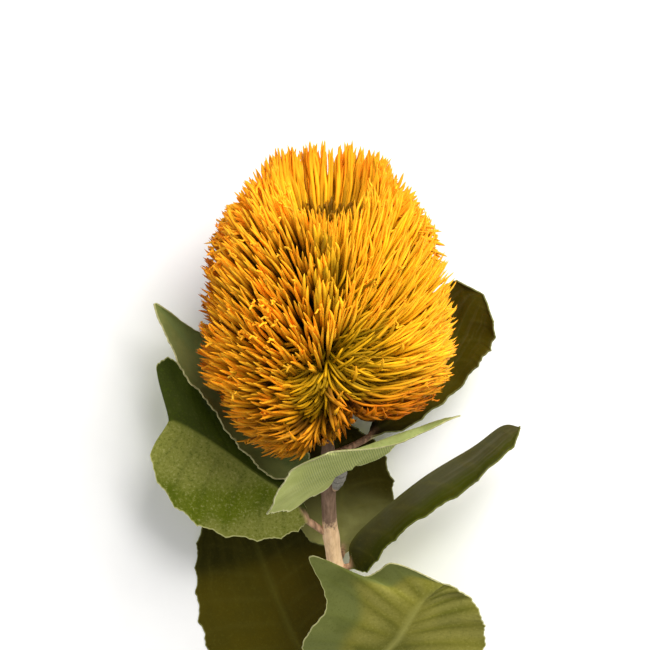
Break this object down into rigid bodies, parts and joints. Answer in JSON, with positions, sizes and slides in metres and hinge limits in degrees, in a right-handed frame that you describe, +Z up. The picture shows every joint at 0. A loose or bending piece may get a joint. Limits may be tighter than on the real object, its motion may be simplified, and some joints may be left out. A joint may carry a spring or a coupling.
{
  "type": "banksia flower",
  "caption": "Cut banksia sprig lying on its back: an egg-shaped golden flower head of long bent styles on a woody stem with broad toothed leaves.",
  "frame": {"origin": "on the table, below the centre of the sprig's bounding box as it lies", "axes": "+Y from the cut end of the stem towards the top of the flower head, +Z up from the table, +X to the right seen from above with the head away"},
  "size_m": [0.1286, 0.2136, 0.0965],
  "materials": {
    "style": "satin, golden with olive bases and orange tips",
    "leaf": "matt dark olive green with a pale edge and fine veins",
    "leaf_underside": "matt pale green, finely ribbed",
    "stem": "matt woody bark, grey brown to pinkish beige",
    "bud": "matt grey, rough"
  },
  "bodies": {
    "root": {"flower_head": "style", "stem": "stem", "bud": "bud", "leaf_1": "leaf", "leaf_2": "leaf", "leaf_3": "leaf", "leaf_4": "leaf", "leaf_5": "leaf", "leaf_6": "leaf_underside", "leaf_7": "leaf", "leaf_8": "leaf"}
  },
  "joints": []
}
